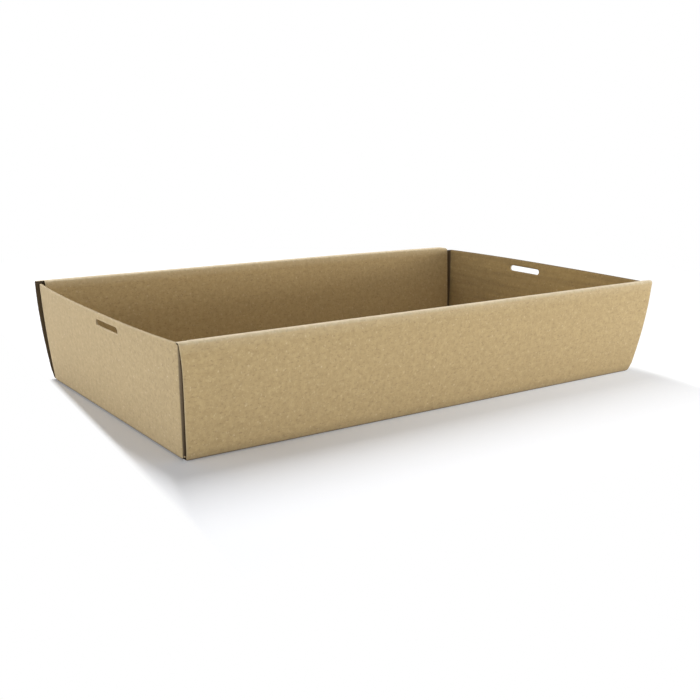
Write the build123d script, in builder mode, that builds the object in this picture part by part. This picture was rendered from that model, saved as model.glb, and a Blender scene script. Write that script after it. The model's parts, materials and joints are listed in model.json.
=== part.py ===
from build123d import *
import os
from math import cos, radians, tan

# A folded tray for food and display: one die-cut sheet of fine-flute corrugated board.
# Two single end walls carry corner flaps, and two long walls roll over at the top and come back
# down inside, so that each corner flap is held between the two plies of a long wall.
# Lengths are in millimetres and angles in degrees. X runs along the tray, Y across it and Z up,
# from the middle of the underside.

# The board
board = 1.7  # thickness of the sheet
fold_inside = 0.4  # inside radius of a creased fold

# The tray, over the outer faces of its walls
base_length = 431.0  # between the folds of the end walls
base_width = 242.5  # between the folds of the long walls
end_height = 80.0  # top edge of the end walls
end_lean = 6.3  # the end walls lean out from upright by this angle
side_lean = 9.1  # and the long walls by this one

# The rolled top of a long wall, and the ends of its two plies
lip_width = 6.5  # from the outer face to the inner face, over both plies
lip_play = 0.4  # room between the end wall's top edge and the rolled top
edge_foot = 0.3  # an outer ply ends this far inside the end wall's outer face at the foot
edge_top = 1.7  # and this far at the top
edge_bow = 1.0  # its cut end bows out by this much between them
inner_gap = 3.5  # an inner ply ends this far from the end wall's inner face
foot_play = 0.3  # room under an inner ply

# The corner flaps
flap_length = 58.0  # along a long wall, from the corner
flap_foot = 3.0  # height of a flap's lower edge
flap_drop = 1.0  # a flap's top edge lies this far below the end wall's

# The tabs that lock the inner plies to the base
tab_length = 32.0
tab_spacing = 230.0  # between the middles of the two tabs of a ply
tab_play = 0.3  # room round a tab in its slot

# The slot near the top of each end wall
slot_length = 39.0
slot_width = 5.2
slot_drop = 9.0  # from the wall's top edge down to the slot's middle line
slot_offset = 17.5  # from the middle of the wall, to opposite sides on the two ends

# Values that follow
fold_outside = fold_inside + board
lip_under = end_height + lip_play
lip_height = lip_under + board
slot_height = end_height - slot_drop
inner_foot = board + foot_play
half_length = base_length / 2
half_width = base_width / 2
end_slope = tan(radians(end_lean))
side_slope = tan(radians(side_lean))
end_run = board / cos(radians(end_lean))  # an end wall's thickness, measured level
side_run = board / cos(radians(side_lean))  # a long wall ply's thickness, measured level
flap_gap = (lip_width - 3 * side_run) / 2  # room each side of a flap between the plies
seam = 5.0  # parts of the sheet run this far into each other where they join
side_seam = 2.0  # the same for a long wall, which keeps clear of the end walls' folds
clear = 2 * end_height  # reach of a cutting shape past what it cuts
corner_line = Vector(end_slope, side_slope, 1)  # runs up a corner, where two walls meet


def sheet_section(*points):
    """The folded sheet's section, from the points where the board's middle lines meet."""
    with BuildLine() as middle:
        FilletPolyline(*points, radius=fold_inside + board / 2)
    trace(middle.line, line_width=board)


def end_edge(height, recess):
    """A point on the cut end of a long wall, seen from the side."""
    return (half_length + height * end_slope - recess, height)


def outer_ply(height):
    """How far out the middle of a long wall's outer ply lies at a height."""
    return half_width + height * side_slope - side_run / 2


def inner_face(height):
    """How far out the tray's inner face lies at a height, on a long wall."""
    return half_width + height * side_slope - lip_width


def inner_ply(height):
    """How far out the middle of a long wall's inner ply lies at a height."""
    return inner_face(height) + side_run / 2


def end_ply(height):
    """How far out the middle of an end wall lies at a height."""
    return half_length + height * end_slope - end_run / 2


def square_to_corner(direction):
    """A direction turned to lie square to the corner line."""
    up = corner_line.normalized()
    return (direction - up * direction.dot(up)).normalized()


# What is cut off each end of an inner ply, up to the underside of the rolled top
inner_tip = end_ply(inner_foot) - end_run / 2 - inner_gap
ply_middle = inner_face(inner_foot) + lip_width / 2
with BuildPart() as ply_end_cut:
    with BuildSketch(Plane.XY.offset(inner_foot)):
        with Locations((inner_tip, ply_middle)):
            Rectangle(clear, lip_width, align=(Align.MIN, Align.MAX))
    extrude(amount=(lip_under - inner_foot) * corner_line.length, dir=corner_line)
    mirror(about=Plane.YZ)

# A long wall: outer ply, rolled top and inner ply, bent from one strip
base_middle = board / 2
lip_middle = lip_height - board / 2
with BuildPart() as long_wall:
    with BuildSketch(Plane.YZ):
        sheet_section(
            (half_width - fold_outside - side_seam, base_middle),
            (outer_ply(base_middle), base_middle),
            (outer_ply(lip_middle), lip_middle),
            (inner_ply(lip_middle), lip_middle),
            (inner_ply(inner_foot), inner_foot),
        )
    extrude(amount=base_length, both=True)
    with BuildSketch(Plane.XZ):
        with BuildLine():
            right_end = ThreePointArc(
                end_edge(0, edge_foot),
                end_edge(lip_height / 2, (edge_foot + edge_top) / 2 - edge_bow),
                end_edge(lip_height, edge_top),
            )
            left_end = mirror(right_end, about=Plane.YZ)
            Line(right_end @ 0, left_end @ 0)
            Line(right_end @ 1, left_end @ 1)
        make_face()
    extrude(amount=base_width, both=True, mode=Mode.INTERSECT)
    add(ply_end_cut.part, mode=Mode.SUBTRACT)
    # The lock tabs run on down from the inner ply, to the underside of the base
    tab_root = inner_foot + seam
    tab_planes = [Plane.YZ.offset(side * tab_spacing / 2) for side in (-1, 1)]
    with BuildSketch(*tab_planes):
        with BuildLine():
            Polyline(
                (inner_face(0), 0),
                (inner_face(0) + side_run, 0),
                (inner_face(tab_root) + side_run, tab_root),
                (inner_face(tab_root), tab_root),
                close=True,
            )
        make_face()
    extrude(amount=tab_length / 2, both=True)

# An end wall with its two corner flaps, its fold to the base and its slot
flap_corner = Vector(end_ply(0), outer_ply(0) - side_run - flap_gap, 0)
to_middle = square_to_corner(Vector(0, -1, 0))
along_flap = square_to_corner(Vector(-1, 0, 0))
fold_plane = Plane(origin=flap_corner, x_dir=to_middle, z_dir=corner_line)
fold_reach = half_width - side_run - flap_gap - fold_outside
fold_top = flap_foot + seam
flap_top = end_height - flap_drop
slot_centre = Vector(half_length + slot_height * end_slope, slot_offset, slot_height)
with BuildPart() as end_wall:
    with BuildSketch(fold_plane):
        sheet_section(
            (base_width, 0),
            (0, 0),
            (
                flap_length * along_flap.dot(fold_plane.x_dir),
                flap_length * along_flap.dot(fold_plane.y_dir),
            ),
        )
    extrude(amount=clear, both=True)
    with BuildSketch(Plane.XY.offset(flap_foot)):
        with Locations((half_length - 2 * flap_length, 0)):
            Rectangle(2 * flap_length + clear, base_width, align=(Align.MIN, Align.MIN))
    extrude(amount=end_height - flap_foot, mode=Mode.INTERSECT)
    # A flap stands lower than the wall, under the rolled top
    with BuildSketch(Plane.XY.offset(flap_top)):
        with Locations((half_length + flap_top * end_slope - fold_outside, 0)):
            Rectangle(clear, base_width, align=(Align.MAX, Align.MIN))
    extrude(amount=clear, mode=Mode.SUBTRACT)
    mirror(about=Plane.XZ)
    # The fold to the base stops short of the corners, where the sheet has its reliefs
    with BuildSketch(Plane.XZ):
        sheet_section(
            (half_length - fold_outside - seam, base_middle),
            (end_ply(base_middle), base_middle),
            (end_ply(fold_top), fold_top),
        )
    extrude(amount=fold_reach, both=True)
    with BuildSketch(Plane(origin=slot_centre, x_dir=(0, 1, 0), z_dir=(1, 0, -end_slope))):
        SlotOverall(slot_length, slot_width)
    extrude(amount=2 * board, both=True, mode=Mode.SUBTRACT)

# The base, with the slots that the lock tabs stand in
tab_slot_inner = inner_face(0) - tab_play
tab_slot_outer = inner_face(board) + side_run + tab_play
with BuildPart() as tray:
    with BuildSketch():
        Rectangle(base_length - 2 * fold_outside, base_width - 2 * fold_outside)
        with GridLocations(tab_spacing, tab_slot_inner + tab_slot_outer, 2, 2):
            Rectangle(
                tab_length + 2 * tab_play,
                tab_slot_outer - tab_slot_inner,
                mode=Mode.SUBTRACT,
            )
    extrude(amount=board)
    # The walls stand opposite each other, turned half round
    for turn in (0, 180):
        add(long_wall.part, rotation=(0, 0, turn))
        add(end_wall.part, rotation=(0, 0, turn))

tray.part.label = "tray"

os.makedirs("parts", exist_ok=True)
export_step(tray.part, "parts/tray.step")
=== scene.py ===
"""The looks of a folded cardboard tray. Its one sheet is bent again from panels of real board:
soft creases, crushed cut edges that show liners and fluting, and walls that bow a little.
Lengths are in millimetres up to the finished mesh, which is in metres."""

import heapq
import json
from math import atan2, copysign, cos, hypot, pi, radians, sin, sqrt, tan

import bpy
import numpy as np
from mathutils import Matrix, Vector, noise


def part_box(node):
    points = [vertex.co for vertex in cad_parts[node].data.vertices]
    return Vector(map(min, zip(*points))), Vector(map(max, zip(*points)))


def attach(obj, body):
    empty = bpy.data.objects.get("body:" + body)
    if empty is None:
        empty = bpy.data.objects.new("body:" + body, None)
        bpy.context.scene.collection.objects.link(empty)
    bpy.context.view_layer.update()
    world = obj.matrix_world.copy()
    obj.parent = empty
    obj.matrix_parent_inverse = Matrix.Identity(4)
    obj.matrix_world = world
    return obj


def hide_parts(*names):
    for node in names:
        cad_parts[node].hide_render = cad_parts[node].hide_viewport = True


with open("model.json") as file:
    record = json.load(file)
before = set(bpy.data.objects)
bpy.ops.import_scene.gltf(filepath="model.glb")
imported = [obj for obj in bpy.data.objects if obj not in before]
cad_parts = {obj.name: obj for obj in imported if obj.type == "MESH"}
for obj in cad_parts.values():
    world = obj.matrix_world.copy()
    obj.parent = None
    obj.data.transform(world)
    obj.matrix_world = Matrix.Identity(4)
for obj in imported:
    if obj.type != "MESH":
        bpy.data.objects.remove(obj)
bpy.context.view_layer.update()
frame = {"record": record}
MM = 0.001

# The board
board = 1.7
flute_pitch = 3.5
flute_print = 0.035  # how far a liner dips between two flute tips
side_print = 0.3  # share of that on the base and the long walls
crease_radius = 1.25  # of the board's middle, at the folds of the base
crease_squeeze = 0.16  # share of its thickness that the board loses in a fold
edge_squeeze = 0.26  # and at a cut edge
corner_squeeze = 0.6  # a corner fold's share of the squeeze in a fold of the base
crush_lines = (0.0, 0.4, 0.9, 1.6)  # distances from a cut edge over which the board swells to full
crush = crush_lines[-1]
# Across the thickness at a cut edge: place from one liner to the other, and how far it stands out
edge_profile = [(0.94, 0.1), (0.86, 0.12), (0.78, 0.07), (0.74, -0.6)]
edge_profile += [(-place, out) for place, out in edge_profile[::-1]]
edge_inset = 0.12
groove_least = 0.15  # share of the groove's depth where an edge is crushed shut

# The tray's sizes, over the outer faces of its walls
lip_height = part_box("tray")[1].z / MM
half_length = 215.5
half_width = 121.25
end_lean = radians(6.3)
side_lean = radians(9.1)
end_slope = tan(end_lean)
side_slope = tan(side_lean)
end_run = board / cos(end_lean)  # an end wall's thickness, measured level
side_run = board / cos(side_lean)  # and a long wall ply's
lip_play = 0.4
end_height = lip_height - board - lip_play
lip_width = 6.5
lip_radius = 1.7
edge_foot = 0.3
edge_top = 1.7
edge_bow = 1.0
flap_play = 0.35  # between a flap and the inner ply
flap_length = 58.0
flap_foot = 3.0
flap_drop = 1.0
inner_foot = 2.0
inner_gap = 3.2
fold_room = 0.2  # given to an inner ply's end beside the corner fold behind it
fold_limit = 0.98  # it lies at most this share of the fold's inside radius off the fold's middle
tab_length = 32.0
tab_spacing = 230.0
tab_play = 0.3
slot_length = 39.0
slot_width = 5.2
slot_margin = (7.0, 3.6)  # finer mesh reaches this far past the slot, along it and across it
slot_places = [mount["pos_m"] for mount in frame["record"]["mounts"] if mount["name"] == "right_slot"]
slot_offset = slot_places[0][1] / MM
slot_height = slot_places[0][2] / MM

# How the real board departs from flat panels. A turn of 1 is the right end wall and the back long
# wall, and -1 the left and the front one. An end wall's side 1 is its back corner where the turn
# is 1 and its front one where it is -1.
corner_low = 1.4  # radius of the corner folds at the foot
corner_high = {1: 4.2, -1: 4.5}  # and at the top, where they spring open
end_bow = {1: 1.2, -1: 3.0}  # the corners stand this far inside the middle of an end wall's top edge
bow_power = {1: 1.0, -1: 2.2}  # how that grows up a corner at the back; at the front it grows evenly
bow_spread = 3.5  # how the wall's bow gathers towards its corners
side_bulge = 2.0  # outward, half way up a long wall's outer ply
bulge_top = lip_height - 3.0
flare = 0.9  # outward, at the cut ends of an outer ply
flare_length = 30.0
flare_foot = 6.0  # height over which the flare starts
flare_top = 15.0  # and ends
end_shift = {  # what the front ply lacks at its foot, half way up and at its top
    (-1, -1): (1.0, 0.75, -1.0),  # at the left end
    (-1, 1): (-1.3, 0.1, -1.1),  # and at the right end
}
shift_foot = 4.0  # height over which an end's shift starts
back_flap_shift = 0.85  # the flap at the back right stands this much further from the inner ply
lip_short = 7.0  # what the back lip lacks at its right end, on its outer side
lip_slant = 3.2  # its end is cut back by this more on the outer side than on the inner one
inner_short = 0.9  # and the ply under it
lip_droop = 1.6  # the lip's end turns down by this much over its last stretch
droop_length = 6.0
ear_droop = 1.6  # and the outer ply's end there by this much more
left_sag = 1.5  # the left end wall's top edge dips this much in its middle
left_sag_start = 0.75  # from this share of its height on
end_sag = 1.0  # the right end wall's back corner stands this much lower
back_sag = 1.3  # the back right corner's top stands this much lower than the others
back_sag_start = (60.0, -50.0)  # from here on, along and across the tray
back_sag_length = (160.0, 180.0)  # and growing over so much
unevenness = 0.22
unevenness_size = 70.0

# Where painted shade darkens the corner folds and the folds under the tray, where the rolled tops are
# paler from wear and a painted highlight, and where cut edges lie open, with painted shade in their
# fluting
arc_steps = 7  # round a corner fold
seam_start = {(-1, 1): 0.2, (1, 1): 0.0}  # painted shade starts so many steps round a fold, by turn and side
seam_usual = 2.0  # the same at the other corners
seam_foot = 2.5  # and at the foot of all four
seam_outside = 3.0  # and on the outer liner of the right end wall
seam_rise = 50.0  # height over which the foot's value passes into the others
seam_blend = 1.2  # steps over which a seam's painted shade grows
foot_shade_height = 0.55  # painted shade on a fold of the base reaches this far above the board's middle
foot_blend = 0.7
worn_and_highlight_depth = 2.5  # the rolled tops are paler down to this: wear, and a painted highlight
relief_open_and_shade = 0.95  # how far the fluting shows in the reliefs at the corners' feet, with painted shade in it
top_open_and_shade = {1: 0.75, -1: 0.0}  # and in the end walls' top edges; the right one's is also darkened by painted shade, the left one's stays pale

# How finely the sheet is laid out
column_spacing = 5.0  # along the tray
line_spacing = 8.5  # across it
station_spacing = 6.0  # up a long wall, between its folds
flap_spacing = 7.0  # along a corner flap
fold_steps = 6  # round a fold of the base or of a rolled top
on_base = 20.0  # a wall's section starts on the base, this far in from its fold
tab_heights = (1.3, 0.7, 0.25)  # of the lines across a lock tab
same_line = 0.01  # places closer than this count as one
sharp_from = radians(38)  # faces that meet at more than this are shaded apart

base_middle = board / 2
lip_middle = lip_height - board / 2


def unit(value):
    """A value held between 0 and 1."""
    return min(max(value, 0), 1)


def outer_ply(height):
    """How far out the middle of a long wall's outer ply lies at a height."""
    return half_width + height * side_slope - side_run / 2


def inner_ply(height):
    """How far out the middle of its inner ply lies."""
    return half_width + height * side_slope - lip_width + side_run / 2


def end_ply(height):
    """How far out the middle of an end wall lies at a height."""
    return half_length + height * end_slope - end_run / 2


def near_top(height):
    """Rises from 0 to 1 over the last stretch up a long wall."""
    return (height / lip_height) ** 8


def bulge(height):
    """How far the outer ply stands out of its plane at a height."""
    return side_bulge * sin(pi * unit(height / bulge_top))


def end_flare(height, distance):
    """How far the outer ply stands out near its cut ends."""
    window = unit(height / flare_foot) * unit((bulge_top - height) / flare_top)
    return flare * window * max(1 - distance / flare_length, 0) ** 2


def shift_at(height, turn, end):
    """How much shorter an outer ply is at one of its ends, -1 or 1 in the wall's own direction."""
    if (turn, end) == (1, 1):
        return lip_short * near_top(height)
    foot, middle, top = end_shift.get((turn, turn * end), (0.0, 0.0, 0.0))
    near_foot = max(1 - height / lip_height, 0) ** 3
    shift = middle + (foot - middle) * near_foot + (top - middle) * near_top(height)
    return shift * unit(height / shift_foot)


def painted_foot_shade(height):
    """The painted shade on the inner and the outer liner where a fold turns under the tray, in place of
    its contact shadow.
    """
    return (0.0, unit(1 - (height - base_middle - foot_shade_height) / foot_blend))


def painted_seam_shade(step, height, turn, side):
    """The painted shade on the inner and the outer liner at a step round a corner fold, where it turns
    into the recess behind a ply.
    """
    high = seam_start.get((turn, side), seam_usual)
    inside = seam_foot + (high - seam_foot) * min(height / seam_rise, 1)
    outside = inside if turn < 0 else seam_outside
    return (unit((step - inside) / seam_blend), unit((step - outside) / seam_blend))


def flap_line(height):
    """How far out the middle of a corner flap lies, close behind the inner ply."""
    return inner_ply(height) + side_run + flap_play


def corner_bow(height, turn, side):
    """How far a corner stands inside an end wall's middle at a height."""
    at_back = turn * side > 0
    return end_bow[turn] * max(height / end_height, 0) ** (bow_power[turn] if at_back else 1)


def sag_at(height, turn, share):
    """How much lower an end wall stands at a height. The share runs from -1 to 1 between its corners."""
    if turn == 1:
        return end_sag * max(height / end_height, 0) * max(share, 0) ** 2
    rise = max(height / end_height - left_sag_start, 0) / (1 - left_sag_start)
    return left_sag * rise ** 2 * (1 - share ** 2)


def corner_radius(height, turn):
    """Radius of a corner fold at a height, which grows as the fold springs open."""
    return corner_low + (corner_high[turn] - corner_low) * max(height / end_height, 0) ** 1.5


def set_back(radius, before, after):
    """From a corner to where its fold starts, between two directions, and the angle it turns by."""
    cross = before[0] * after[1] - before[1] * after[0]
    dot = before[0] * after[0] + before[1] * after[1]
    turn = abs(atan2(cross, dot))
    return radius * tan(turn / 2), turn


def bent_line(corners, radii, spacing):
    """Stations along a bent strip as (across, height, crease), from the start of its first fold."""
    corners = [np.array(c, float) for c in corners]
    stations = []
    for i, (corner, radius) in enumerate(zip(corners[1:-1], radii), 1):
        before = (corner - corners[i - 1]) / np.linalg.norm(corner - corners[i - 1])
        after = (corners[i + 1] - corner) / np.linalg.norm(corners[i + 1] - corner)
        back, turn = set_back(radius, before, after)
        start, end = corner - before * back, corner + after * back
        if stations:
            stations += straight(stations[-1][:2], start, spacing)
        else:
            stations.append((*start, 0.0))
        side = np.sign(before[0] * after[1] - before[1] * after[0])
        centre = start + side * radius * np.array([-before[1], before[0]])
        arm = start - centre
        for step in range(1, fold_steps + 1):
            angle = side * turn * step / fold_steps
            across = centre[0] + (arm[0] * cos(angle) - arm[1] * sin(angle))
            height = centre[1] + (arm[0] * sin(angle) + arm[1] * cos(angle))
            stations.append((across, height, sin(pi * step / fold_steps)))
    return stations + straight(stations[-1][:2], corners[-1], spacing)


def straight(start, end, spacing):
    """Stations along a flat stretch, past its start."""
    start, end = np.array(start, float), np.array(end, float)
    steps = max(1, round(np.linalg.norm(end - start) / spacing))
    return [(*(start + (end - start) * step / steps), 0.0) for step in range(1, steps + 1)]


class Sheet:
    """The board's middle surface, with each point's place on the flat blank."""

    def __init__(self):
        self.points = []
        self.blank = []
        self.crease = []
        self.fluted = []
        self.worn_and_highlight = []
        self.open_edge_and_shade = []
        self.painted_shade = []
        self.quads = []

    def add(self, point, blank, crease=0.0, fluted=1.0, worn_and_highlight=0.0, open_edge_and_shade=0.0, painted_shade=(0.0, 0.0)):
        self.points.append(point)
        self.blank.append(blank)
        self.crease.append(crease)
        self.fluted.append(fluted)
        self.worn_and_highlight.append(worn_and_highlight)
        self.open_edge_and_shade.append(open_edge_and_shade)
        self.painted_shade.append(painted_shade)
        return len(self.points) - 1

    def weave(self, rows, keep=None):
        """Quads between neighbouring rows of points, wherever all four are there."""
        for low, high in zip(rows, rows[1:]):
            for i in range(len(low) - 1):
                quad = (low[i], low[i + 1], high[i + 1], high[i])
                if None not in quad and (keep is None or keep(quad)):
                    self.quads.append(quad)


sheet = Sheet()

# The slots in the base for the lock tabs, and where the tabs stand along them
tab_inner = half_width - lip_width - tab_play
tab_outer = half_width + board * side_slope - lip_width + side_run + tab_play
tab_start = (tab_spacing - tab_length) / 2
tab_end = (tab_spacing + tab_length) / 2


def inner_end(height, turn):
    """Where an inner ply's cut end stands, clear of the corner fold behind it."""
    radius = corner_radius(height, turn)
    middle = end_ply(height) - end_bow[turn] * max(height / end_height, 0) - radius
    reach = radius - board / 2
    depth = min(max(radius - 2 * side_run + fold_room, 0), reach * fold_limit)
    return middle + sqrt(reach * reach - depth * depth) - inner_gap


# Sections of a long wall and of an end wall, from a place on the base up
long_corners = [
    (half_width - on_base, base_middle),
    (outer_ply(base_middle), base_middle),
    (outer_ply(lip_middle), lip_middle),
    (inner_ply(lip_middle), lip_middle),
    (inner_ply(inner_foot), inner_foot),
]
long_stations = bent_line(long_corners, (crease_radius, lip_radius, lip_radius), station_spacing)
base_edge = long_stations[0][0]
end_corners = [
    (half_length - on_base, base_middle),
    (end_ply(base_middle), base_middle),
    (end_ply(end_height), end_height),
]
end_stations = bent_line(end_corners, (crease_radius,), station_spacing)
base_end = end_stations[0][0]
ear_height = 2.0  # over which an outer ply's cut end comes out from its relief in the corner
wall_half = flap_line(0) - corner_low  # of an end wall at its foot, up to where a corner fold starts

# How far an outer ply's cut end stands back from the end wall's outer face, over the height
edge_recess = np.polyfit(
    [0, lip_height / 2, lip_height],
    [edge_foot, (edge_foot + edge_top) / 2 - edge_bow, edge_top],
    2,
)


def outer_end(height):
    """Where an outer ply's cut end stands: a shallow bow that starts from the base's own end."""
    bowed = half_length + height * end_slope - np.polyval(edge_recess, height)
    share = unit((height - base_middle) / ear_height)
    return base_end + (bowed - base_end) * share ** 0.5


# Lines along the tray: shares of the inner plies' length, then set distances from the cut ends
core = inner_end(0, 1) - crush
tab_marks = [tab_start - tab_play, tab_start, tab_end, tab_end + tab_play]
tab_marks = sorted([-mark for mark in tab_marks] + tab_marks)
held = tab_end + 5.0  # columns up to here stay in line with the tabs' slots, whatever the wall's length
shares = []
for low, high in zip([-core] + tab_marks, tab_marks + [core]):
    steps = max(1, round((high - low) / column_spacing))
    shares += [(low + (high - low) * step / steps) / core for step in range(steps)]
shares.append(1.0)
inner_columns = len(crush_lines) - 1
outer_columns = len(crush_lines)


def stretch(place, reach):
    """Moves a place past the lock tabs outward or inward, as the wall's length asks."""
    if abs(place) <= held:
        return place
    return copysign(held + (abs(place) - held) * (reach - held) / (core - held), place)


def columns(inner_left, inner_right, outer_left, outer_right):
    """Places along a long wall at one height, from its left cut end to its right one."""
    reach = {True: inner_right - crush, False: inner_left - crush}
    row = [stretch(share * core, reach[share > 0]) for share in shares]
    right = [inner_right - d for d in crush_lines[inner_columns - 1::-1]]
    right += [outer_right - d for d in crush_lines[::-1]]
    left = [-inner_left + d for d in crush_lines[inner_columns - 1::-1]]
    left += [-outer_left + d for d in crush_lines[::-1]]
    return left[::-1] + row + right


def is_tab(i):
    """Whether a column stands within a lock tab."""
    k = i - inner_columns - outer_columns
    if not 0 <= k < len(shares):
        return False
    return tab_start - same_line <= abs(shares[k] * core) <= tab_end + same_line


def is_inner(i, count):
    """Whether a column is one of those that the inner ply shares, and not only the outer one's."""
    return outer_columns <= i < count - outer_columns


def by_relief(line):
    """Whether a line along the tray lies at or past an end wall's last one, at a corner's relief."""
    return abs(line) > wall_half - 1


# The base, whose cross lines carry on up the end walls
steps = round(2 * tab_inner / line_spacing)
cross_lines = [tab_inner * (2 * step / steps - 1) for step in range(steps + 1)]
cross_lines = [-base_edge, -tab_outer, -wall_half] + cross_lines + [wall_half, tab_outer, base_edge]
walled_lines = [line for line in cross_lines if abs(line) <= wall_half + same_line]
base_columns = columns(inner_end(0, -1), inner_end(0, 1), base_end, base_end)
base_rows = []
for y in cross_lines:
    cut = relief_open_and_shade if by_relief(y) else 0.0
    base_rows.append([
        sheet.add((x, y, base_middle), (x, y), 0.0, side_print, 0.0, cut) for x in base_columns
    ])


def off_tab_slot(quad):
    """Whether a quad of the base lies clear of the slots for the lock tabs."""
    x = abs(sum(sheet.points[i][0] for i in quad) / 4)
    y = abs(sum(sheet.points[i][1] for i in quad) / 4)
    return not (tab_start - tab_play < x < tab_end + tab_play and tab_inner < y < tab_outer)


sheet.weave(base_rows, off_tab_slot)


def ply_ends(across, height, turn):
    """How far a long wall's plies reach: inner left and right, then outer left and right."""
    inner_left, inner_right = inner_end(height, -turn), inner_end(height, turn)
    if turn == 1:
        share = unit((across - inner_ply(height)) / (lip_width - side_run))
        inner_right -= inner_short + lip_slant * share * near_top(height)
    outer_left = outer_end(height) - shift_at(height, turn, -1)
    outer_right = outer_end(height) - shift_at(height, turn, 1)
    return inner_left, inner_right, outer_left, outer_right


def droop_at(x, height, inner_right, inner):
    """How far the back wall's top hangs down towards its right end, on its inner or outer ply."""
    near = unit((x - inner_right) / droop_length + 1)
    ear = ear_droop if x > 0 and not inner else 0.0
    return (lip_droop * near ** 2 + ear) * near_top(height)


def long_wall(edge, turn):
    """A long wall's strip from the base's edge: outer ply, rolled top, inner ply and lock tabs."""
    rows = [edge]
    run = base_edge
    roll_start = max(height for _, height, _ in long_stations) - 0.05
    rolled = False
    previous = long_stations[0]
    for station in long_stations[1:]:
        across, height, crease = station
        run += hypot(across - previous[0], height - previous[1])
        rolled = rolled or height < min(previous[1] - 1e-6, roll_start)
        # Paler towards the rolled top: wear, and a painted highlight where the roll catches the light
        worn_and_highlight = max(1 - max(lip_middle - height, 0) / worn_and_highlight_depth, 0)
        ends = ply_ends(across, height, turn)
        _, inner_right, outer_left, outer_right = ends
        places = columns(*ends)
        row = []
        for i, x in enumerate(places):
            inner = is_inner(i, len(edge))
            if rolled and not inner:
                row.append(None)
                continue
            stand = 0.0
            if not rolled:
                stand = bulge(height) + end_flare(height, min(outer_right - x, outer_left + x))
            droop = droop_at(x, height, inner_right, inner) if turn == 1 else 0.0
            point = (turn * x, turn * (across + stand), height - droop)
            blank = (turn * x, turn * run)
            row.append(sheet.add(point, blank, crease, side_print, worn_and_highlight, 1.0, painted_foot_shade(height)))
        rows.append(row)
        previous = station
    sheet.weave(rows + tab_rows(places, run, turn))


def tab_rows(places, run, turn):
    """The lock tabs, which run on down from an inner ply's foot into the base."""
    high, low = long_stations[-2], long_stations[-1]
    slope = (low[0] - high[0]) / (low[1] - high[1])
    rows = []
    for height in tab_heights:
        across = low[0] + slope * (height - inner_foot)
        down = run + inner_foot - height
        row = []
        for i, x in enumerate(places):
            point, blank = (turn * x, turn * across, height), (turn * x, turn * down)
            row.append(sheet.add(point, blank, 0.0, side_print) if is_tab(i) else None)
        rows.append(row)
    return rows


def end_lines():
    """Lines along an end wall as (out, height, crease), a quarter of a flute apart past the fold."""
    step = flute_pitch / 4 * cos(end_lean)
    heights = list(np.arange(flap_foot, end_height - crush - step / 2, step))
    heights += [end_height - d for d in crush_lines[::-1]]
    return end_stations[1:fold_steps + 1] + [(end_ply(z), z, 0.0) for z in heights]


def end_wall(edge, turn):
    """An end wall's strip from the base's end, with its corner flaps and its slot."""
    lines = end_lines()
    run = [base_end]
    for a, b in zip([end_stations[0]] + lines, lines):
        run.append(run[-1] + hypot(b[0] - a[0], b[1] - a[1]))
    wall = []
    for start, line in zip(edge, walled_lines):
        share = line / wall_half
        row = [start]
        for k, (x, z, crease) in enumerate(lines):
            y = share * (flap_line(z) - corner_radius(z, turn))
            out = x - corner_bow(z, turn, share) * abs(share) ** bow_spread
            cut = relief_open_and_shade if by_relief(line) and k < fold_steps else top_open_and_shade[turn]
            point = (turn * out, turn * y, z - sag_at(z, turn, share))
            blank = (turn * run[k + 1], turn * y)
            row.append(sheet.add(point, blank, crease, 1.0, 0.0, cut, painted_foot_shade(z)))
        wall.append(row)
    before = corner_rows(lines, run, turn, -1) + flap_rows(lines, run, turn, -1)
    after = corner_rows(lines, run, turn, 1) + flap_rows(lines, run, turn, 1)
    rows = before[::-1] + wall + after
    cut_slot(rows, turn)
    sheet.weave(rows)


def flap_shift(turn, side):
    """How much further out than the others a corner flap stands."""
    return back_flap_shift if (turn, side) == (1, 1) else 0.0


def corner_rows(lines, run, turn, side):
    """The rows round a corner fold, each of which starts above the relief at its foot."""
    rows = []
    for s in range(1, arc_steps + 1):
        angle = pi / 2 * s / arc_steps
        first = min(s + 1, fold_steps)
        row = [None] * (first + 1)
        for k, (x, z, _) in list(enumerate(lines))[first:]:
            radius = corner_radius(z, turn)
            drop = flap_drop * (s / arc_steps) * max(z - flap_foot, 0) / (end_height - flap_foot)
            inward = corner_bow(z, turn, side) + radius * (1 - cos(angle))
            along = flap_line(z) - radius + radius * sin(angle) + flap_shift(turn, side) * s / arc_steps
            point = (turn * (x - inward), turn * side * along, z - drop - sag_at(z, turn, side))
            around = flap_line(z) - radius + radius * angle
            blank = (turn * run[k + 1], turn * side * around)
            crease = sin(2 * angle) * corner_squeeze
            row.append(sheet.add(point, blank, crease, 1.0, painted_shade=painted_seam_shade(s, z, turn, side)))
        rows.append(row)
    return rows


def flap_rows(lines, run, turn, side):
    """The rows of a corner flap, from its fold to its free end."""
    count = round(flap_length / flap_spacing)
    places = [f / count for f in range(1, count)] + [1 - d / flap_length for d in crush_lines[::-1]]
    rows = []
    for share in places:
        # Painted shade on the flap, deepest at its fold and gone a quarter of the way to its end
        painted_shade = max(1 - share * 4, 0)
        row = [None] * (fold_steps + 1)
        for k, (x, z, _) in list(enumerate(lines))[fold_steps:]:
            radius = corner_radius(z, turn)
            start = x - corner_bow(z, turn, side) - radius
            end = half_length - flap_length + z * end_slope
            drop = flap_drop * (z - flap_foot) / (end_height - flap_foot)
            across = flap_line(z - drop) + flap_shift(turn, side)
            level = z - drop - sag_at(z, turn, side) * (1 - share)
            point = (turn * (start + (end - start) * share), turn * side * across, level)
            around = flap_line(z) - radius + radius * pi / 2 + (start - end) * share
            blank = (turn * run[k + 1], turn * side * around)
            row.append(sheet.add(point, blank, 0.0, 1.0, painted_shade=(painted_shade, painted_shade)))
        rows.append(row)
    return rows


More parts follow.
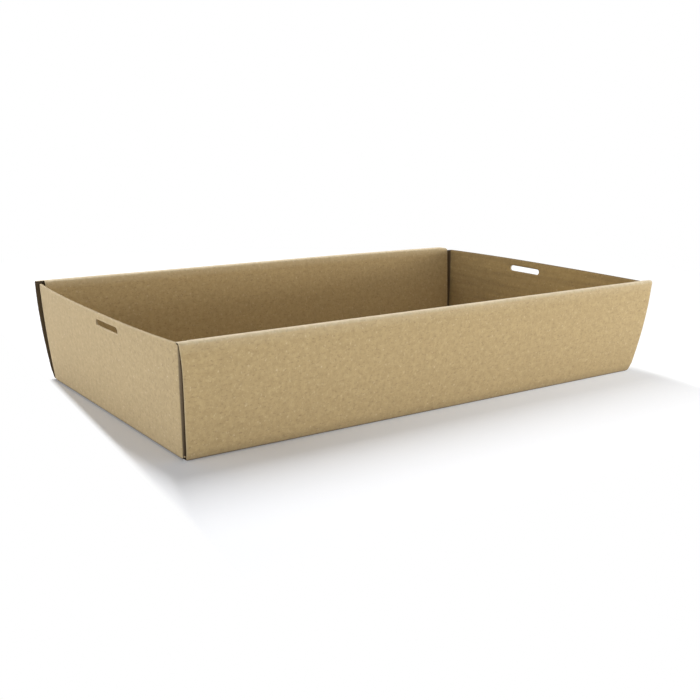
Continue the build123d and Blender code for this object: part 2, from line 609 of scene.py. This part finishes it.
def slot_rim(across, upward):
    """Points round the slot as (along, up), so many on each straight side and on each round end."""
    radius = slot_width / 2
    straight_half = slot_length / 2 - radius
    rim = []
    for k in range(upward):
        angle = -pi / 2 - pi * k / upward
        rim.append((radius * cos(angle) - straight_half, radius * sin(angle)))
    for j in range(across):
        rim.append((straight_half * (2 * j / across - 1), radius))
    for k in range(upward):
        angle = pi / 2 - pi * k / upward
        rim.append((radius * cos(angle) + straight_half, radius * sin(angle)))
    for j in range(across):
        rim.append((straight_half * (1 - 2 * j / across), -radius))
    return rim


def from_slot(i, turn):
    """A point's place from the slot's middle, along the slot and up the wall."""
    _, y, z = sheet.points[i]
    return turn * y - slot_offset, (z - slot_height) / cos(end_lean)


def by_slot(i, turn):
    """Whether a point is within the margin round the slot."""
    if i is None:
        return False
    along, up = from_slot(i, turn)
    return abs(along) < slot_length / 2 + slot_margin[0] and abs(up) < slot_width / 2 + slot_margin[1]


def slot_ring(loop, rim, turn, reach):
    """A ring of points between a loop on the wall and the slot's rim, by each pair's distance."""
    ring = []
    for i, (along, up) in zip(loop, rim):
        a, u = from_slot(i, turn)
        gap = hypot(a - along, u - up)
        share = reach(gap) / gap
        new_a, new_u = along + (a - along) * share, up + (u - up) * share
        x, _, z = sheet.points[i]
        u_blank, _ = sheet.blank[i]
        new_z = slot_height + new_u * cos(end_lean)
        new_y = slot_offset + new_a
        new_x = turn * x + (new_z - z) * end_slope
        blank = (u_blank + turn * (new_u - u), turn * new_y)
        ring.append(sheet.add((turn * new_x, turn * new_y, new_z), blank, 0.0, 1.0))
    return ring


def cut_slot(rows, turn):
    """Leaves a block out of an end wall's rows and fills it with rings round the slot."""
    inside = [[by_slot(i, turn) for i in row] for row in rows]
    js = [j for j, row in enumerate(inside) if any(row)]
    ks = [k for k in range(len(rows[0])) if any(row[k] for row in inside)]
    j0, j1, k0, k1 = js[0] - 1, js[-1] + 1, ks[0] - 1, ks[-1] + 1
    loop = [rows[j0][k] for k in range(k0, k1)]
    loop += [rows[j][k1] for j in range(j0, j1)]
    loop += [rows[j1][k] for k in range(k1, k0, -1)]
    loop += [rows[j][k0] for j in range(j1, j0, -1)]
    for j in range(j0 + 1, j1):
        for k in range(k0 + 1, k1):
            rows[j][k] = None
    rim = slot_rim(j1 - j0, k1 - k0)
    levels = [loop]
    for third in (1, 2):
        levels.append(slot_ring(loop, rim, turn, lambda gap: crush + (gap - crush) * (1 - third / 3)))
    for distance in crush_lines[::-1]:
        levels.append(slot_ring(loop, rim, turn, lambda gap: distance))
    for outer, inner in zip(levels, levels[1:]):
        for a in range(len(loop)):
            b = (a + 1) % len(loop)
            sheet.quads.append((outer[a], outer[b], inner[b], inner[a]))


long_wall(base_rows[-1], 1)
long_wall(base_rows[0][::-1], -1)
walled = [row for row, line in zip(base_rows, cross_lines) if line in walled_lines]
end_wall([row[-1] for row in walled], 1)
end_wall([row[0] for row in walled][::-1], -1)


def surface_normals(points, quads):
    """Each point's normal, towards the tray's inside."""
    corners = points[quads]
    faces = np.cross(corners[:, 2] - corners[:, 0], corners[:, 3] - corners[:, 1])
    normals = np.zeros_like(points)
    for k in range(4):
        np.add.at(normals, quads[:, k], faces)
    return normals / np.linalg.norm(normals, axis=1, keepdims=True)


def cut_distance(points, quads, border):
    """Each point's distance along the sheet to the nearest cut edge, up to the crushed width."""
    near = {}
    for quad in quads:
        for a, b in zip(quad, np.roll(quad, -1)):
            near.setdefault(a, set()).add(b)
            near.setdefault(b, set()).add(a)
    reach = np.full(len(points), crush)
    queue = [(0.0, i) for i in border]
    for i in border:
        reach[i] = 0.0
    while queue:
        d, i = heapq.heappop(queue)
        if d > reach[i]:
            continue
        for k in near[i]:
            further = d + float(np.linalg.norm(points[i] - points[k]))
            if further < reach[k]:
                reach[k] = further
                heapq.heappush(queue, (further, k))
    return reach


def let_down(points):
    """Lowers the tray's back right corner, more and more towards its top."""
    height = points[:, 2] / lip_height
    back = np.clip((points[:, 1] - back_sag_start[1]) / back_sag_length[1], 0, 1)
    right = np.clip((points[:, 0] - back_sag_start[0]) / back_sag_length[0], 0, 1)
    points[:, 2] -= back_sag * height * back ** 1.5 * right ** 1.5


def uneven(points, normals, blank, crease):
    """The points lifted a little by slow waves over the blank, though not in a fold."""
    waves = [noise.noise(Vector((u, v, 0)) / unevenness_size) for u, v in blank]
    lift = 0.5 + 0.5 * np.array(waves)
    return points + normals * (unevenness * lift * (1 - crease))[:, None]


def cut_border(points, quads, normals):
    """The sheet's cut edges, the points on them, and each point's direction out of the sheet."""
    halves = {}
    for quad in quads:
        for a, b in zip(quad, np.roll(quad, -1)):
            halves[(int(a), int(b))] = True
    edges = [(a, b) for a, b in halves if (b, a) not in halves]
    border = sorted({a for a, _ in edges} | {b for _, b in edges})
    outward = np.zeros_like(points)
    for a, b in edges:
        way = np.cross(points[b] - points[a], normals[a] + normals[b])
        way /= np.linalg.norm(way)
        outward[a] += way
        outward[b] += way
    outward /= np.maximum(np.linalg.norm(outward, axis=1, keepdims=True), 1e-9)
    return edges, border, outward


def board_faces(quads, edges, border, count):
    """The faces of both liners and of the cut edges' rings, with the material of each."""
    slot_of = {v: k for k, v in enumerate(border)}

    def corner(v, layer):
        if layer == 0:
            return v
        if layer == len(edge_profile) + 1:
            return count + v
        return 2 * count + (layer - 1) * len(border) + slot_of[v]

    faces = [tuple(q) for q in quads] + [tuple(count + q[::-1]) for q in quads]
    materials = [0] * len(faces)
    for a, b in edges:
        for layer in range(len(edge_profile) + 1):
            near = (corner(b, layer), corner(a, layer))
            far = (corner(a, layer + 1), corner(b, layer + 1))
            faces.append(near + far)
            materials.append(1)
    return [[int(i) for i in face] for face in faces], materials


def board_mesh():
    """The sheet as a closed mesh: two liners, and cut edges with a groove where the fluting shows."""
    quads = np.array(sheet.quads, int)
    used = np.unique(quads)
    renumber = np.full(len(sheet.points), -1)
    renumber[used] = np.arange(len(used))
    quads = renumber[quads]

    def in_use(values):
        return np.array(values, float)[used]

    points, blank, crease = in_use(sheet.points), in_use(sheet.blank), in_use(sheet.crease)
    fluted, worn_and_highlight = in_use(sheet.fluted), in_use(sheet.worn_and_highlight)
    open_edge_and_shade, painted_shade = in_use(sheet.open_edge_and_shade), in_use(sheet.painted_shade)
    let_down(points)
    normals = surface_normals(points, quads)
    points = uneven(points, normals, blank, crease)
    edges, border, outward = cut_border(points, quads, normals)

    distance = cut_distance(points, quads, border)
    rim = 1 - distance / crush
    half = board / 2 * (1 - edge_squeeze * rim ** 2) * (1 - crease_squeeze * crease)
    wave = np.cos(2 * pi * blank[:, 0] / flute_pitch)
    calm = fluted * (1 - crease) * np.clip(distance / crush, 0, 1)
    top = points + normals * (half - flute_print * calm * (0.5 - 0.5 * wave))[:, None]
    low = points - normals * (half - flute_print * calm * (0.5 + 0.5 * wave))[:, None]

    count, rings = len(points), len(edge_profile)
    coords = [top, low]
    across = [np.ones(count), -np.ones(count)]
    groove = groove_least + (1 - groove_least) * open_edge_and_shade[border]
    for place, out in edge_profile:
        reach = np.where(out < 0, out * groove, out) - edge_inset
        lift = normals[border] * (place * half[border])[:, None]
        coords.append(points[border] + lift + outward[border] * reach[:, None])
        across.append(np.full(len(border), place))

    def everywhere(inner, outer, cut):
        """One value a point for the inner liner, then the outer one, then each ring of the cut edges."""
        return np.concatenate([inner, outer, np.tile(cut[border], rings)])

    ones, zeros = np.ones(count), np.zeros(count)
    layers = {
        "across": np.concatenate(across),
        "worn_and_highlight": everywhere(worn_and_highlight, worn_and_highlight, worn_and_highlight),
        "fluted": everywhere(fluted, fluted, fluted),
        "rim": everywhere(rim, rim, ones),
        "inside": everywhere(ones, zeros, zeros),
        "open_edge_and_shade": everywhere(open_edge_and_shade, open_edge_and_shade, open_edge_and_shade),
        # Painted shade on the inner liner also where the fluting lies fully open, which is all of a long
        # wall's strip: the side between its plies, seen at the outer plies' ends
        "painted_shade": everywhere(np.maximum(painted_shade[:, 0], np.floor(open_edge_and_shade)), painted_shade[:, 1], painted_shade[:, 1]),
    }
    faces, materials = board_faces(quads, edges, border, count)
    mesh = bpy.data.meshes.new("tray_board")
    mesh.from_pydata((np.concatenate(coords) * MM).tolist(), [], faces)
    mesh.polygons.foreach_set("material_index", materials)
    for name, values in layers.items():
        layer = mesh.attributes.new(name, "FLOAT", "POINT")
        layer.data.foreach_set("value", values.astype(np.float32))
    all_blank = np.concatenate([blank, blank, np.tile(blank[border], (rings, 1))]) * MM
    corner = np.zeros(len(mesh.loops), int)
    mesh.loops.foreach_get("vertex_index", corner)
    flat = mesh.uv_layers.new(name="blank")
    flat.data.foreach_set("uv", all_blank[corner].astype(np.float32).ravel())
    mesh.shade_smooth()
    mesh.set_sharp_from_angle(angle=sharp_from)
    mesh.validate()
    return mesh


class Nodes:
    """Short ways to lay out a material's nodes."""

    def __init__(self, name):
        self.material = bpy.data.materials.new(name)
        self.material.use_nodes = True
        self.tree = self.material.node_tree
        self.shader = self.tree.nodes["Principled BSDF"]
        self.output = self.tree.nodes["Material Output"]

    def node(self, kind, inputs=None, **settings):
        made = self.tree.nodes.new(kind)
        for key, value in settings.items():
            setattr(made, key, value)
        for key, value in (inputs or {}).items():
            self.feed(made.inputs[key], value)
        return made

    def feed(self, socket, value):
        if isinstance(value, bpy.types.NodeSocket):
            self.tree.links.new(value, socket)
        else:
            socket.default_value = value

    def attribute(self, name):
        return self.node("ShaderNodeAttribute", attribute_name=name).outputs["Fac"]

    def math(self, operation, a, b=0.0, c=None):
        inputs = {0: a, 1: b}
        if c is not None:
            inputs[2] = c
        return self.node("ShaderNodeMath", inputs, operation=operation).outputs[0]

    def ramp(self, value, low, high, out_low=0.0, out_high=1.0):
        inputs = {"Value": value, "From Min": low, "From Max": high}
        inputs.update({"To Min": out_low, "To Max": out_high})
        return self.node("ShaderNodeMapRange", inputs).outputs["Result"]

    def noise(self, where, scale, detail=2.0, roughness=0.5, stretch=None, shift=(0, 0, 0)):
        """Noise with that many cells in a metre, stretched along the axes if asked."""
        if stretch is not None or shift != (0, 0, 0):
            mapping = {"Vector": where, "Scale": stretch or (1, 1, 1), "Location": shift}
            where = self.node("ShaderNodeMapping", mapping).outputs["Vector"]
        inputs = {"Vector": where, "Scale": scale, "Detail": detail, "Roughness": roughness}
        return self.node("ShaderNodeTexNoise", inputs).outputs["Fac"]

    def mix(self, factor, a, b, blend="MIX"):
        made = self.node("ShaderNodeMix", data_type="RGBA", blend_type=blend)
        self.feed(made.inputs[0], factor)
        self.feed(made.inputs[6], a)
        self.feed(made.inputs[7], b)
        return made.outputs[2]


def kraft_liner():
    """Uncoated brown kraft paper over fine flutes."""
    n = Nodes("kraft_liner")
    flat = n.node("ShaderNodeUVMap", uv_map="blank").outputs["UV"]
    inside = n.attribute("inside")
    side = n.node("ShaderNodeCombineXYZ", {"Z": n.math("MULTIPLY", inside, 0.37)}).outputs[0]
    where = n.node("ShaderNodeVectorMath", {0: flat, 1: side}, operation="ADD").outputs[0]

    tone = n.mix(n.noise(where, 9, 3.0, 0.55), (0.42, 0.299, 0.134, 1), (0.508, 0.373, 0.178, 1))
    cloud = n.ramp(n.noise(where, 55, 4.0, 0.6), 0.3, 0.7)
    tone = n.mix(n.math("MULTIPLY", cloud, 0.5), tone, (0.412, 0.297, 0.138, 1))
    fibre = n.ramp(n.noise(where, 480, 5.0, 0.75, stretch=(1.0, 0.6, 1)), 0.32, 0.68)
    tone = n.mix(n.math("MULTIPLY", fibre, 0.55), tone, (0.565, 0.433, 0.232, 1))
    mottle = n.ramp(n.noise(where, 220, 3.0, 0.7, shift=(6, 1, 8)), 0.36, 0.64)
    tone = n.mix(n.math("MULTIPLY", mottle, 0.5), tone, (0.35, 0.245, 0.108, 1))
    dark = n.ramp(n.noise(where, 620, 3.0, 0.6, stretch=(0.6, 1, 1), shift=(3, 7, 1)), 0.56, 0.70)
    tone = n.mix(n.math("MULTIPLY", dark, 0.55), tone, (0.235, 0.15, 0.065, 1))
    pale = n.ramp(n.noise(where, 560, 3.0, 0.6, stretch=(1, 0.6, 1), shift=(9, 2, 5)), 0.60, 0.74)
    tone = n.mix(n.math("MULTIPLY", pale, 0.55), tone, (0.72, 0.60, 0.40, 1))

    # The flutes show through as faint lines across the blank
    u = n.node("ShaderNodeSeparateXYZ", {"Vector": flat}).outputs["X"]
    phase = n.math("MULTIPLY", u, 2 * pi / (flute_pitch * MM))
    wave = n.math("COSINE", phase)
    flip = n.math("SUBTRACT", n.math("MULTIPLY", inside, 2.0), 1.0)
    wave = n.math("MULTIPLY", wave, flip)
    patch = n.ramp(n.noise(where, 26, 2.0, 0.5, shift=(4, 4, 2)), 0.35, 0.7, 0.2, 1.0)
    line = n.math("MULTIPLY", n.ramp(wave, -1.0, 1.0), patch)
    line = n.math("MULTIPLY", line, n.attribute("fluted"))
    line = n.math("MULTIPLY", line, n.ramp(inside, 0.0, 1.0, 0.05, 0.22))
    streak = n.ramp(n.noise(where, 170, 2.0, 0.6, stretch=(1, 0.06, 1), shift=(1, 5, 3)), 0.4, 0.65)
    streak = n.math("MULTIPLY", streak, n.ramp(n.attribute("fluted"), 0.4, 1.0, 0.0, 0.35))
    line = n.math("MAXIMUM", line, n.math("MULTIPLY", streak, inside))
    tone = n.mix(line, tone, (0.20, 0.13, 0.055, 1))

    # The inner liner is a little browner, partly its own colour and partly painted shade inside the
    # tray; the rolled tops are paler, partly wear and partly a painted highlight; cut rims are paler on
    # the outer liner, a painted highlight, and darker on the inner one, painted shade
    # Painted shade on the inner liner, full on the end walls and half on the base, over its own browner
    # colour
    browner_and_shaded = n.math("MULTIPLY", inside, n.ramp(n.attribute("fluted"), side_print, 1.0, 0.5, 1.0))
    tone = n.mix(browner_and_shaded, tone, (0.72, 0.66, 0.45, 1), "MULTIPLY")
    scuffs = n.ramp(n.noise(where, 300, 3.0, 0.6), 0.35, 0.65, 0.6, 1.0)
    # The rolled tops paler in patches: wear and a painted highlight
    rubbed_and_highlight = n.math("MULTIPLY", n.attribute("worn_and_highlight"), scuffs)
    tone = n.mix(n.math("MULTIPLY", rubbed_and_highlight, 0.7), tone, (0.74, 0.64, 0.46, 1))
    # Cut rims: a painted highlight on the outer liner and painted shade on the inner one
    rim = n.math("POWER", n.attribute("rim"), 2.0)
    rim_highlight_and_shade = n.mix(inside, (0.68, 0.57, 0.38, 1), (0.16, 0.11, 0.055, 1))
    tone = n.mix(n.math("MULTIPLY", rim, n.ramp(inside, 0.0, 1.0, 0.35, 0.7)), tone, rim_highlight_and_shade)
    # Painted shade in the corner folds' recesses, on the flaps, under the base folds and between a long
    # wall's plies
    tone = n.mix(n.math("MULTIPLY", n.attribute("painted_shade"), 0.87), tone, (0.07, 0.042, 0.018, 1))
    n.feed(n.shader.inputs["Base Color"], tone)
    n.feed(n.shader.inputs["Roughness"], n.ramp(fibre, 0.0, 1.0, 0.78, 0.92))
    n.shader.inputs["Specular IOR Level"].default_value = 0.28
    n.shader.inputs["Sheen Weight"].default_value = 0.2
    n.shader.inputs["Sheen Roughness"].default_value = 0.6

    relief = n.math("ADD", n.math("MULTIPLY", fibre, 0.5), n.math("MULTIPLY", wave, -0.22))
    relief = n.math("ADD", relief, n.math("MULTIPLY", n.noise(where, 1500, 2.0, 0.6), 0.5))
    bump = n.node("ShaderNodeBump", {"Height": relief, "Strength": 0.35, "Distance": 0.00012})
    n.feed(n.shader.inputs["Normal"], bump.outputs["Normal"])
    return n.material


def cut_edge():
    """The board's cut edge: two pale liners, and fluting between them with painted shade in its
    openings; where it lies open the whole cut is darker, also painted shade.
    """
    n = Nodes("cut_edge")
    flat = n.node("ShaderNodeUVMap", uv_map="blank").outputs["UV"]
    across = n.attribute("across")
    u = n.node("ShaderNodeSeparateXYZ", {"Vector": flat}).outputs["X"]
    wave = n.math("MULTIPLY", n.math("COSINE", n.math("MULTIPLY", u, 2 * pi / (flute_pitch * MM))), 0.5)
    gap = n.math("ABSOLUTE", n.math("SUBTRACT", across, wave))
    opening = n.ramp(gap, 0.08, 0.2)
    core = n.ramp(n.math("ABSOLUTE", across), 0.80, 0.72)
    open_edge_and_shade = n.attribute("open_edge_and_shade")
    shade = n.math("MULTIPLY", opening, core)
    shade = n.math("MULTIPLY", shade, n.ramp(open_edge_and_shade, 0.0, 1.0, 0.15, 0.97))
    grain = n.noise(flat, 800, 4.0, 0.65)
    # Painted shade: the whole cut goes darker the further its fluting lies open
    cut = n.mix(open_edge_and_shade, (0.60, 0.48, 0.30, 1), (0.12, 0.08, 0.04, 1))
    tone = n.mix(n.ramp(grain, 0.3, 0.7), n.mix(1.0, cut, (0.75, 0.75, 0.75, 1), "MULTIPLY"), cut)
    # Painted shade in the flute openings
    tone = n.mix(shade, tone, (0.035, 0.022, 0.012, 1))
    n.feed(n.shader.inputs["Base Color"], tone)
    n.feed(n.shader.inputs["Roughness"], n.ramp(grain, 0.0, 1.0, 0.85, 0.98))
    n.shader.inputs["Specular IOR Level"].default_value = 0.2
    bump = n.node("ShaderNodeBump", {"Height": grain, "Strength": 0.4, "Distance": 0.0001})
    n.feed(n.shader.inputs["Normal"], bump.outputs["Normal"])
    return n.material


tray = bpy.data.objects.new("tray_board", board_mesh())
bpy.context.scene.collection.objects.link(tray)
tray.data.materials.append(kraft_liner())
tray.data.materials.append(cut_edge())
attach(tray, "root")
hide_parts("tray")

# The camera, from a fit to the tray's corners, edges and slots
view_azimuth = radians(35.56)
view_elevation = radians(13.44)
view_roll = radians(0.77)
view_distance = 778.7
view_target = Vector((-43.75, -61.63, 40.0))
focal_pixels = 1003.4
image_pixels = 700


def aim_camera():
    forward = Vector((
        sin(view_azimuth) * cos(view_elevation),
        cos(view_azimuth) * cos(view_elevation),
        -sin(view_elevation),
    ))
    level = Vector((cos(view_azimuth), -sin(view_azimuth), 0))
    above = level.cross(forward)
    right = level * cos(view_roll) + above * sin(view_roll)
    up = above * cos(view_roll) - level * sin(view_roll)
    lens = bpy.data.cameras.new("camera")
    lens.sensor_fit = "HORIZONTAL"
    lens.lens = lens.sensor_width * focal_pixels / image_pixels
    lens.clip_end = 60
    camera = bpy.data.objects.new("camera", lens)
    bpy.context.scene.collection.objects.link(camera)
    turn = Matrix((right, up, -forward)).transposed().to_4x4()
    place = (view_target - forward * view_distance) * MM
    camera.matrix_world = Matrix.Translation(place) @ turn
    bpy.context.scene.camera = camera


def area_lamp(name, place, target, size, power, colour=(1, 1, 1)):
    """A soft lamp, long side first in its size, that shines from a place to a target. Metres."""
    data = bpy.data.lights.new(name, "AREA")
    data.shape = "RECTANGLE"
    data.size, data.size_y = size
    data.energy = power
    data.color = colour
    lamp = bpy.data.objects.new(name, data)
    bpy.context.scene.collection.objects.link(lamp)
    lamp.location = place
    lamp.rotation_euler = (Vector(target) - Vector(place)).to_track_quat("-Z", "Y").to_euler()
    return lamp


def light_studio():
    """A narrow overhead strip that reaches back, for the shadow, and soft light from all round."""
    middle = (0, 0, 0.04)
    area_lamp("strip", (0.17, 0.72, 1.51), middle, (0.08, 1.42), 30)
    area_lamp("front right", (0.8, -1.15, 0.14), (0.1, 0, 0.04), (0.8, 0.2), 9.7, (1.0, 0.99, 0.95))
    area_lamp("front", (0.5, -1.65, 0.4), middle, (1.0, 0.4), 3.4)
    area_lamp("left", (-1.8, 0.2, 0.16), middle, (1.0, 0.2), 15, (0.95, 0.99, 1.08))


def white_world():
    """White where it is seen or reflected, and a weaker, slightly cool light otherwise."""
    world = bpy.data.worlds.new("studio")
    bpy.context.scene.world = world
    world.use_nodes = True
    tree = world.node_tree
    background = tree.nodes["Background"]
    path = tree.nodes.new("ShaderNodeLightPath")
    seen = tree.nodes.new("ShaderNodeMath")
    seen.operation = "MAXIMUM"
    tree.links.new(path.outputs["Is Camera Ray"], seen.inputs[0])
    tree.links.new(path.outputs["Is Glossy Ray"], seen.inputs[1])
    level = tree.nodes.new("ShaderNodeMapRange")
    level.inputs["To Min"].default_value = 0.30
    level.inputs["To Max"].default_value = 1.0
    tree.links.new(seen.outputs[0], level.inputs["Value"])
    tree.links.new(level.outputs["Result"], background.inputs["Strength"])
    tint = tree.nodes.new("ShaderNodeMix")
    tint.data_type = "RGBA"
    tint.inputs[6].default_value = (0.97, 0.99, 1.03, 1)
    tint.inputs[7].default_value = (1, 1, 1, 1)
    tree.links.new(seen.outputs[0], tint.inputs[0])
    tree.links.new(tint.outputs[2], background.inputs["Color"])


# Where the floor is painted white over the tray's shadow, which trims the shadow's left edge and lifts
# it towards the front and the right, in metres: a direction, the start and the end along it, and how far
floor_clears = [
    ((-0.994, 0.111, 0), 0.2275, 0.2325, 1.0),
    ((0, -1, 0), 0.20, 0.29, 1.0),
    ((1, 0, 0), -0.15, 0.30, 0.6),
]


def white_floor():
    """A white floor that keeps the tray's shadow, lifted by a faint painted glow and trimmed by painted
    white along set lines, and fades into the background round it.
    """
    n = Nodes("floor")
    half = 6.0
    corners = [(-half, -half, 0), (half, -half, 0), (half, half, 0), (-half, half, 0)]
    mesh = bpy.data.meshes.new("floor")
    mesh.from_pydata(corners, [], [(0, 1, 2, 3)])
    mesh.materials.append(n.material)
    floor = bpy.data.objects.new("floor", mesh)
    bpy.context.scene.collection.objects.link(floor)
    n.tree.nodes.remove(n.shader)
    place = n.node("ShaderNodeTexCoord").outputs["Object"]
    away = n.node("ShaderNodeVectorMath", {0: place}, operation="LENGTH").outputs["Value"]
    path = n.node("ShaderNodeLightPath").outputs
    seen = n.math("MAXIMUM", path["Is Camera Ray"], path["Is Glossy Ray"])
    paper = n.node("ShaderNodeBsdfDiffuse", {"Color": (0.81, 0.815, 0.832, 1)}).outputs[0]
    # A faint painted glow, seen only by the camera and in reflections, that lightens the shadow
    painted_glow = n.node("ShaderNodeEmission", {"Strength": n.math("MULTIPLY", seen, 0.10)}).outputs[0]
    lit = n.node("ShaderNodeAddShader", {0: paper, 1: painted_glow}).outputs[0]
    white = n.node("ShaderNodeEmission", {"Strength": 1.0}).outputs[0]
    # Painted white: by distance into the background, and along the lines above over parts of the shadow
    cleared = n.ramp(away, 0.45, 0.8)
    for direction, start, end, most in floor_clears:
        along = n.node("ShaderNodeVectorMath", {0: place, 1: direction}, operation="DOT_PRODUCT")
        cleared = n.math("MAXIMUM", cleared, n.ramp(along.outputs["Value"], start, end, 0.0, most))
    fade = n.math("MULTIPLY", cleared, seen)
    mixed = n.node("ShaderNodeMixShader", {0: fade, 1: lit, 2: white}).outputs[0]
    n.feed(n.output.inputs["Surface"], mixed)


aim_camera()
light_studio()
white_world()
white_floor()
bpy.context.scene.view_settings.view_transform = "Standard"
